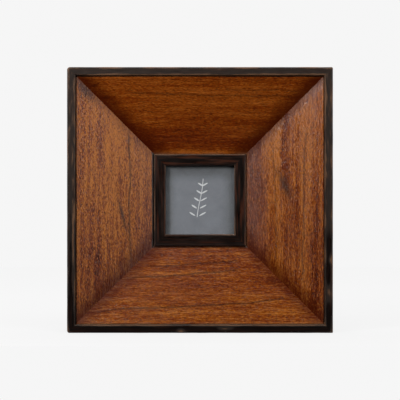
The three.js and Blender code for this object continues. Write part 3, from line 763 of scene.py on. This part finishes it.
# Back board
# A sheet of smooth brown fibreboard, sawn to size, its edges eased with sandpaper. It lies in the rebate of
# the rails and is held there by the turn buttons, and is bored for the rivets of the hinge and the hanger.
RIVET_HOLE = 1.4 * MM  # radius
BOARD_ROUNDING = 2 * MM
BOARD_EASE = 0.4 * MM
FIBRE_BROWN = [(0.13, 0.072, 0.036), (0.36, 0.23, 0.125)]


def eased_board(name, corners, radii, front, rear, ease, ease_points=6):
    """A flat board. Its rounded outline is carried through the thickness and drawn in at both faces by a
    quarter circle of radius ease. The points' rub value is 1 on the sawn edge and 0 on the faces."""
    fixed, weights = rounded_section(corners, run_points=2)
    loop = fixed + np.einsum("c,pcd->pd", radii, weights)
    along = np.roll(loop, -1, axis=0) - np.roll(loop, 1, axis=0)
    outward = np.stack([along[:, 1], -along[:, 0]], axis=1) / np.linalg.norm(along, axis=1, keepdims=True)
    turn = np.linspace(0, np.pi / 2, ease_points)
    drawn = ease * (1 - np.sin(turn))
    sunk = ease * (1 - np.cos(turn))
    drawn = np.concatenate([drawn, drawn[::-1]])[:, None]
    depth = np.concatenate([rear - sunk, front + sunk[::-1]])[:, None] + 0 * loop[:, 0]
    x = loop[:, 0] - drawn * outward[:, 0]
    z = loop[:, 1] - drawn * outward[:, 1]
    board = add_piece(name, np.stack([x, depth, z], axis=-1), tube_faces(*x.shape))
    mark(board, "rub", "FLOAT", 1 - drawn / ease + 0 * x)
    return board


def bare_fibreboard():
    """Pressed wood fibre: short pale and dark fibres in a brown ground, smooth but dull, and darker and
    rougher on the sawn edges."""
    material, start = new_finish("bare_fibreboard")
    place = object_place(start)
    edge = attribute(start, "rub", "Fac")
    pulp = fibres(start, place, (1.6, 1.6, 1.6), seed=91, detail=4)
    cloud = fibres(start, place, (30, 30, 30), seed=92, detail=3)
    ground = 0.5 + 1.4 * (pulp - 0.5) + (cloud - 0.5) - 0.35 * edge
    roughness = 0.68 + 0.4 * (pulp - 0.5) + 0.15 * edge
    lay_on(start, ground.blend(*FIBRE_BROWN), roughness, pulp, 0.05 * MM, {"Specular IOR Level": 0.3})
    return material


fibreboard = bare_fibreboard()
low, high = box_of("back_board")
board_corners = [(low[0], low[2]), (high[0], low[2]), (high[0], high[2]), (low[0], high[2])]
board_radii = np.full(len(board_corners), BOARD_ROUNDING)
board = eased_board("sawn_back_board", board_corners, board_radii, low[1], high[1], BOARD_EASE)
bore(board, [shank_hole(f"{use}_rivet_{end}", RIVET_HOLE) for use in ("board", "hanger") for end in ENDS])
settle(board, "frame", "back_board", fibreboard)

# Easel strut and hinge
# The strut is of the same fibreboard, widening to a round-cornered foot. It swings on a steel hinge: two
# leaves pressed from sheet and rolled into knuckles round a pin. Two dome-headed rivets hold each leaf.
STRUT_CORNERS = np.array([(-29, 5), (29, 5), (19, 149), (-19, 149)]) * MM
STRUT_ROUNDING = np.array([7, 7, 3, 3]) * MM
STRUT_EASE = 0.5 * MM
LEAF_SHEET = 0.8 * MM
LEAF_CORNER = 3 * MM
LEAF_HALF = 16 * MM
LEAF_BOARD_REACH = 15 * MM
LEAF_STRUT_REACH = 22 * MM
LEAF_STATIONS = 60
KNUCKLE = 2.2 * MM  # outer radius
KNUCKLE_TURN = np.radians(290)
MIDDLE_KNUCKLE_HALF = 6 * MM
END_KNUCKLE_HALF = 4.85 * MM
STRAP_SHARE = 0.95  # thickness of a rolled strap to its plate's, so that their faces don't coincide
SHEET_ROUNDING = 0.35  # rounding of a pressed edge to the sheet's thickness
STRIP_TIP = 0.05 * MM  # half the width left at the very end of a rounded strip
RIVET_SHANK = 1.2 * MM  # radius, as the next
RIVET_HEAD = 2.5 * MM
RIVET_RISE = 1.1 * MM
RIVET_RIM = 0.15 * MM
POLE = 0.06 * MM  # radius of the small flat that closes a turned piece at its middle
ACROSS = np.array([1.0, 0.0, 0.0])
UPRIGHT = np.array([0.0, 0.0, 1.0])
ZINC_GREY = [(0.22, 0.22, 0.22), (0.60, 0.59, 0.57)]

low, high = box_of("easel_strut")
strut = eased_board("sawn_strut", STRUT_CORNERS, STRUT_ROUNDING, low[1], high[1], STRUT_EASE)
bore(strut, [shank_hole(f"strut_rivet_{end}", RIVET_HOLE) for end in ENDS])
settle(strut, "strut", "easel_strut", fibreboard)


def zinc_plate():
    """Zinc-plated steel: grey metal with a faint spangle, handling marks and dull patches."""
    material, start = new_finish("zinc_plate")
    place = object_place(start)
    spangle = fibres(start, place, (1.2, 1.2, 1.2), seed=95)
    smear = fibres(start, place, (6, 6, 6), seed=96, detail=3)
    ground = 0.5 + 0.8 * (spangle - 0.5) + 1.2 * (smear - 0.5)
    roughness = 0.34 + 0.5 * (smear - 0.5)
    lay_on(start, ground.blend(*ZINC_GREY), roughness, spangle, 0.01 * MM, {"Metallic": 1.0})
    return material


def strip_stations(first, last, count):
    """Places along a strip from first to last, closer spaced towards both as half a turn of a cosine is."""
    return first + (last - first) * (1 - np.cos(np.linspace(0, np.pi, count))) / 2


def rounded_ends(stations, half, radius):
    """Half the width of a strip at stations along it: full in the middle, drawn in by an arc at both ends."""
    from_end = np.minimum(stations - stations[0], stations[-1] - stations)
    into_arc = np.clip(radius - from_end, 0, radius)
    return np.maximum(half - radius + np.sqrt(radius**2 - into_arc**2), STRIP_TIP)


def pressed_strip(path, side, half_width, thickness, arc_points=5):
    """A strip of sheet metal: a flat section with rounded edges, its width lying along side, carried along a
    bent path. half_width has a value for each point of the path. Gives the points and the faces."""
    ahead = np.gradient(path, axis=0)
    ahead /= np.linalg.norm(ahead, axis=1, keepdims=True)
    normal = np.cross(ahead, side)
    width = np.broadcast_to(half_width, len(path))[:, None]
    edge = np.minimum(SHEET_ROUNDING * thickness, 0.8 * width)
    turn = (np.arange(4)[:, None] + np.linspace(0, 1, arc_points)).ravel() * np.pi / 2
    right = np.repeat([1, -1, -1, 1], arc_points)
    above = np.repeat([1, 1, -1, -1], arc_points)
    out = right * (width - edge) + edge * np.cos(turn)
    lift = above * (thickness / 2 - edge) + edge * np.sin(turn)
    points = path[:, None] + out[..., None] * side + lift[..., None] * normal[:, None]
    return points.reshape(-1, 3), tube_faces(len(path), len(turn))


def rolled_path(pin, flip, reach, radius, flat_points=12, arc_points=60):
    """A line that runs along a leaf to its pin and round it, by KNUCKLE_TURN of a circle. flip is -1 for a
    leaf turned half round the pin, and reach is negative for one that reaches down from it."""
    straight = np.linspace(reach, 0, flat_points)[:-1]
    turn = -np.pi / 2 - np.sign(reach) * KNUCKLE_TURN * np.linspace(0, 1, arc_points)
    height = np.concatenate([straight, radius * np.cos(turn)])
    depth = np.concatenate([np.full_like(straight, -radius), radius * np.sin(turn)])
    return pin + np.stack([0 * height, flip * depth, flip * height], axis=-1)


def hinge_leaf(name, pin, flip, reach, knuckles, rivets):
    """A plate with round corners beside the pin, straps (x, half width) rolled from it round the pin, and
    holes for its rivets."""
    radius = KNUCKLE - LEAF_SHEET / 2
    stations = strip_stations(KNUCKLE, reach, LEAF_STATIONS)
    flat = np.stack([0 * stations, np.full_like(stations, -flip * radius), flip * stations], axis=-1)
    parts = [pressed_strip(pin + flat, ACROSS, rounded_ends(stations, LEAF_HALF, LEAF_CORNER), LEAF_SHEET)]
    for x, half in knuckles:
        path = rolled_path(pin, flip, KNUCKLE + 2 * LEAF_CORNER, radius) + x * ACROSS
        parts.append(pressed_strip(path, ACROSS, half, STRAP_SHARE * LEAF_SHEET))
    leaf = join(name, *parts)
    bore(leaf, [shank_hole(f"{rivets}_{end}", RIVET_HOLE) for end in ENDS], shells=len(parts))
    return leaf


def domed_head(radius, rise, rim, steps=24):
    """The profile of a fastener's head from its seat to its crown: a slant out over the rim, and on it a
    quarter of an ellipse."""
    turn = np.linspace(0, np.pi / 2, steps)
    arc = [(max(radius * np.cos(t), POLE), rim + (rise - rim) * np.sin(t)) for t in turn]
    return [(radius - rim, 0)] + arc


def head_seat(node, rise):
    """Where a fastener's head sits, on the middle line of its node's box and rise in front of its crown, and
    where its tip lies from there."""
    low, high = box_of(node)
    seat = np.array([(low[0] + high[0]) / 2, high[1] - rise, (low[2] + high[2]) / 2])
    return seat, low[1] - seat[1]


def rivet(name, node, body):
    """A rivet: a plain shank and a low domed head, turned about its middle line."""
    centre, tip = head_seat(node, RIVET_RISE)
    shank = [(POLE, tip), (RIVET_SHANK, tip), (RIVET_SHANK, 0)]
    points = turned(shank + domed_head(RIVET_HEAD, RIVET_RISE, RIVET_RIM), centre)
    piece = add_piece(name, points, tube_faces(*points.shape[:2]))
    settle(piece, body, node, zinc)


zinc = zinc_plate()
low, high = box_of("hinge_pin")
hinge_line = np.array([0, low[1] + high[1], low[2] + high[2]]) / 2
end_knuckles = [(end * (LEAF_HALF - END_KNUCKLE_HALF), END_KNUCKLE_HALF) for end in (-1, 1)]
board_leaf = hinge_leaf("pressed_leaf_board", hinge_line, 1, LEAF_BOARD_REACH, end_knuckles, "board_rivet")
settle(board_leaf, "frame", "hinge_leaf_board", zinc)
middle_knuckle = [(0, MIDDLE_KNUCKLE_HALF)]
strut_leaf = hinge_leaf("pressed_leaf_strut", hinge_line, -1, LEAF_STRUT_REACH, middle_knuckle, "strut_rivet")
settle(strut_leaf, "strut", "hinge_leaf_strut", zinc)
paint_node("hinge_pin", zinc)
for end in ENDS:
    rivet(f"domed_board_rivet_{end}", f"board_rivet_{end}", "frame")
    rivet(f"domed_strut_rivet_{end}", f"strut_rivet_{end}", "strut")

# Hanger
# A steel plate with round ends, riveted to the board near its top. A tongue in its middle is rolled round the
# straight side of a wire ring, bent to a triangle, by which the frame hangs on a nail.
HANGER_SHEET = 0.8 * MM
HANGER_STATIONS = 90
HANGER_LOOP_HALF = 5 * MM
RING_WIRE = 1 * MM  # radius
RING_CORNERS = np.array([(-10, 0), (0, -17), (10, 0)]) * MM
RING_BEND = 2.5 * MM


def bent_wire(name, loop, centre, radius, count=20):
    """A round wire bent to a closed loop in the plane of the frame: a circle carried round the loop."""
    along = np.roll(loop, -1, axis=0) - np.roll(loop, 1, axis=0)
    along /= np.linalg.norm(along, axis=1, keepdims=True)
    outward = np.stack([along[:, 1], 0 * along[:, 0], -along[:, 0]], axis=-1)[:, None]
    turn = np.linspace(0, 2 * np.pi, count, endpoint=False)[:, None]
    line = centre + np.stack([loop[:, 0], 0 * loop[:, 0], loop[:, 1]], axis=-1)[:, None]
    points = line + radius * (np.cos(turn) * outward + np.sin(turn) * np.array([0.0, 1.0, 0.0]))
    index = np.arange(len(loop) * count).reshape(-1, count)
    ahead = np.roll(index, -1, axis=1)
    faces = np.stack([index, ahead, np.roll(ahead, -1, axis=0), np.roll(index, -1, axis=0)], axis=-1)
    return add_piece(name, points, faces.reshape(-1, 4).tolist())


low, high = box_of("hanger_ring")
ring_line = np.array([0, (low[1] + high[1]) / 2, high[2] - RING_WIRE])
fixed, weights = rounded_section(RING_CORNERS, arc_points=14, run_points=24)
ring_loop = fixed + RING_BEND * weights.sum(axis=1)
ring = bent_wire("bent_ring", ring_loop, ring_line, RING_WIRE)
settle(ring, "ring", "hanger_ring", zinc)

low, high = box_of("hanger_plate")
plate_half = (ring_line[2] - low[2]) / 2  # half its height
stations = strip_stations(low[0], high[0], HANGER_STATIONS)
plate_line = np.array([0, low[1] + HANGER_SHEET / 2, low[2] + plate_half])
plate_ends = rounded_ends(stations, plate_half, plate_half)
plate = pressed_strip(plate_line + stations[:, None] * ACROSS, UPRIGHT, plate_ends, HANGER_SHEET)
tongue_line = rolled_path(ring_line, 1, -plate_half, ring_line[1] - plate_line[1])
tongue = pressed_strip(tongue_line, ACROSS, HANGER_LOOP_HALF, STRAP_SHARE * HANGER_SHEET)
hanger = join("pressed_hanger_plate", plate, tongue)
bore(hanger, [shank_hole(f"hanger_rivet_{end}", RIVET_HOLE) for end in ENDS], shells=2)
settle(hanger, "frame", "hanger_plate", zinc)
for end in ENDS:
    rivet(f"domed_hanger_rivet_{end}", f"hanger_rivet_{end}", "frame")

# Turn buttons and screws
# Four cranked buttons pressed from sheet steel hold the back board in. Each turns under the domed head of a
# cross-recessed wood screw, driven into the back of a rail.
BUTTON_SHEET = 1 * MM
BUTTON_HALF = 4.5 * MM
BUTTON_TIP = 15 * MM  # from the pivot, as the ends of the crank
BUTTON_STATIONS = 140
CRANK_FOOT = 5.1 * MM
CRANK_TOP = 6.7 * MM
CRANK_RISE = 0.8 * MM
BUTTON_HOLE = 1.8 * MM  # radius
SCREW_HEAD = 3 * MM  # radius, as the next
SCREW_SHANK = 1.5 * MM
SCREW_RISE = 1.8 * MM
SCREW_RIM = 0.1 * MM
SCREW_POINT = 3 * MM
SCREW_CREASE = 50  # degrees
SCREW_LEANS = {"left": (0.3, 1.1), "right": (0.75, 0.1)}  # of the lower and the upper cross, in radians
RECESS_ARM = 1.5 * MM
RECESS_HALF = 0.42 * MM
RECESS_DEPTH = 0.9 * MM
RECESS_WALL = 0.12 * MM  # over which the side of an arm slopes down
RECESS_END = 0.2 * MM  # over which its end slopes down
RECESS_SHALLOWING = 0.35  # share of the depth lost at an arm's end


def turn_button(name, pivot, inward, front):
    """A cranked strip with round ends, from its heel past its pivot to its tip over the board. The crank
    rises by a smooth step."""
    stations = strip_stations(-BUTTON_HALF, BUTTON_TIP, BUTTON_STATIONS)
    rise = np.clip((stations - CRANK_FOOT) / (CRANK_TOP - CRANK_FOOT), 0, 1)
    depth = front + BUTTON_SHEET / 2 + CRANK_RISE * rise * rise * (3 - 2 * rise)
    path = np.stack([pivot[0] + inward * stations, depth, np.full_like(stations, pivot[2])], axis=-1)
    half_width = rounded_ends(stations, BUTTON_HALF, BUTTON_HALF)
    return join(name, pressed_strip(path, UPRIGHT, half_width, BUTTON_SHEET))


def wood_screw(name, centre, tip, lean):
    """A wood screw: a point, a plain shank and a domed head. Its cross recess sinks every point of the head
    that lies in either arm, least at the arm's end. lean is the angle at which the cross was left."""
    shank = [(POLE, tip), (SCREW_SHANK, tip + SCREW_POINT), (SCREW_SHANK, 0)]
    head = domed_head(SCREW_HEAD, SCREW_RISE, SCREW_RIM, steps=60)
    points = turned(shank + head, centre, count=120)
    x = points[..., 0] - centre[0]
    z = points[..., 2] - centre[2]
    first = np.abs(x * np.cos(lean) + z * np.sin(lean))
    second = np.abs(z * np.cos(lean) - x * np.sin(lean))
    arm = np.maximum(first, second)
    inside = np.clip((RECESS_HALF - np.minimum(first, second)) / RECESS_WALL, 0, 1)
    inside *= np.clip((RECESS_ARM - arm) / RECESS_END, 0, 1)
    sunk = RECESS_DEPTH * inside * (1 - RECESS_SHALLOWING * arm / RECESS_ARM)
    points[len(shank):, :, 1] -= sunk[len(shank):]
    return add_piece(name, points, tube_faces(*points.shape[:2]), SCREW_CREASE)


for side, inward in zip(ENDS, (1, -1)):
    for level, lean in zip(LEVELS, SCREW_LEANS[side]):
        place = f"{side}_{level}"
        centre, tip = head_seat(f"button_screw_{place}", SCREW_RISE)
        screw = wood_screw(f"turned_screw_{place}", centre, tip, lean)
        settle(screw, "frame", f"button_screw_{place}", zinc)
        front = box_of(f"turn_button_{place}")[0][1]
        button = turn_button(f"pressed_button_{place}", centre, inward, front)
        bore(button, [shank_hole(f"button_screw_{place}", BUTTON_HOLE)])
        settle(button, f"button_{place}", f"turn_button_{place}", zinc)

# Floor, light and camera
# A pale table under the frame and a pale room behind it. Two soft lights stand left and right in front of the
# frame and a third hangs above. The camera looks straight at the middle of the frame.
ROOM_PALE = (0.92, 0.92, 0.92)
ROOM_DIM = (0.012, 0.012, 0.012)
FLOOR_NEAR = -0.13
FLOOR_FAR = 1.2
FLOOR_SIDE = 1.5
FLOOR_PALENESS = 0.835  # in the middle, near the frame
FLOOR_GREY = (0.08, 0.08, 0.08)  # the part of its colour that takes light and shadow
VIEW_DISTANCE = 1.25
VIEW_WIDTH = 0.3758  # what the picture takes in at the front of the frame


def seen_by(start, *rays):
    """1 for rays of any of the given kinds, and otherwise 0."""
    kinds = [start.add("ShaderNodeLightPath", {}, {}, f"Is {ray} Ray") for ray in rays]
    total = kinds[0]
    for kind in kinds[1:]:
        total = total.math("MAXIMUM", total, kind)
    return total


def pale_floor():
    """A pale floor: most of its paleness is its own, so that the shadow on it is faint. Towards the back and
    the sides, where less light falls, it runs over into the room. Its part before the frame's middle isn't
    mirrored in the frame."""
    material, start = new_finish("pale_floor")
    place = object_place(start)
    across = part_of(start, place, "X")
    depth = part_of(start, place, "Y")
    mirrored = seen_by(start, "Glossy") * depth.rise(0.0, 0.1)
    seen = mirrored.math("MAXIMUM", mirrored, seen_by(start, "Camera", "Transmission"))
    beside = across.math("ABSOLUTE", across).rise(0.4, 1.3)
    paleness = seen * (FLOOR_PALENESS + 0.035 * depth.rise(-0.1, 0.5) + 0.05 * beside)
    own = start.add("ShaderNodeEmission", {}, {"Color": paleness.blend((0, 0, 0), (1, 1, 1))})
    lit = start.add("ShaderNodeBsdfDiffuse", {}, {"Color": FLOOR_GREY})
    both = start.add("ShaderNodeAddShader", {}, {0: own, 1: lit})
    start.add("ShaderNodeOutputMaterial", {}, {"Surface": both}, None)
    return material


floor_points = np.array([
    (-FLOOR_SIDE, FLOOR_NEAR, 0), (FLOOR_SIDE, FLOOR_NEAR, 0),
    (FLOOR_SIDE, FLOOR_FAR, 0), (-FLOOR_SIDE, FLOOR_FAR, 0),
])
floor = add_piece("floor", floor_points, [[0, 1, 2, 3]])
floor.data.materials.append(pale_floor())

world = bpy.data.worlds.new("pale_room")
bpy.context.scene.world = world
world.use_nodes = True
world.node_tree.nodes.clear()
room = Shade(world.node_tree)
behind = part_of(room, room.add("ShaderNodeTexCoord", {}, {}, "Generated"), "Y")
paleness = behind.math("MAXIMUM", behind.rise(-0.1, 0.2), seen_by(room, "Camera", "Transmission"))
sky = room.add("ShaderNodeBackground", {}, {"Color": paleness.blend(ROOM_DIM, ROOM_PALE)})
room.add("ShaderNodeOutputWorld", {}, {"Surface": sky}, None)


def soft_light(name, place, size, power):
    """A square lamp of a given size and power that faces the middle of the frame."""
    lamp = bpy.data.lights.new(name, "AREA")
    lamp.size = size
    lamp.energy = power
    holder = bpy.data.objects.new(name, lamp)
    holder.location = place
    away = holder.location.copy()
    away.z -= HALF
    holder.rotation_euler = away.to_track_quat("Z", "Y").to_euler()
    bpy.context.scene.collection.objects.link(holder)


soft_light("left_light", (-0.61, -0.69, 0.56), size=0.2, power=6.6)
soft_light("right_light", (0.76, -0.88, 0.38), size=0.25, power=3.2)
soft_light("top_light", (0.05, -0.3, 0.85), size=0.3, power=3.1)

camera = bpy.data.cameras.new("camera")
camera.sensor_width = 36
camera.lens = camera.sensor_width * (VIEW_DISTANCE + FRONT) / VIEW_WIDTH
viewer = bpy.data.objects.new("camera", camera)
viewer.location = (0, -VIEW_DISTANCE, HALF)
viewer.rotation_euler = (np.pi / 2, 0, 0)
bpy.context.scene.collection.objects.link(viewer)
bpy.context.scene.camera = viewer
bpy.context.scene.view_settings.view_transform = "Standard"
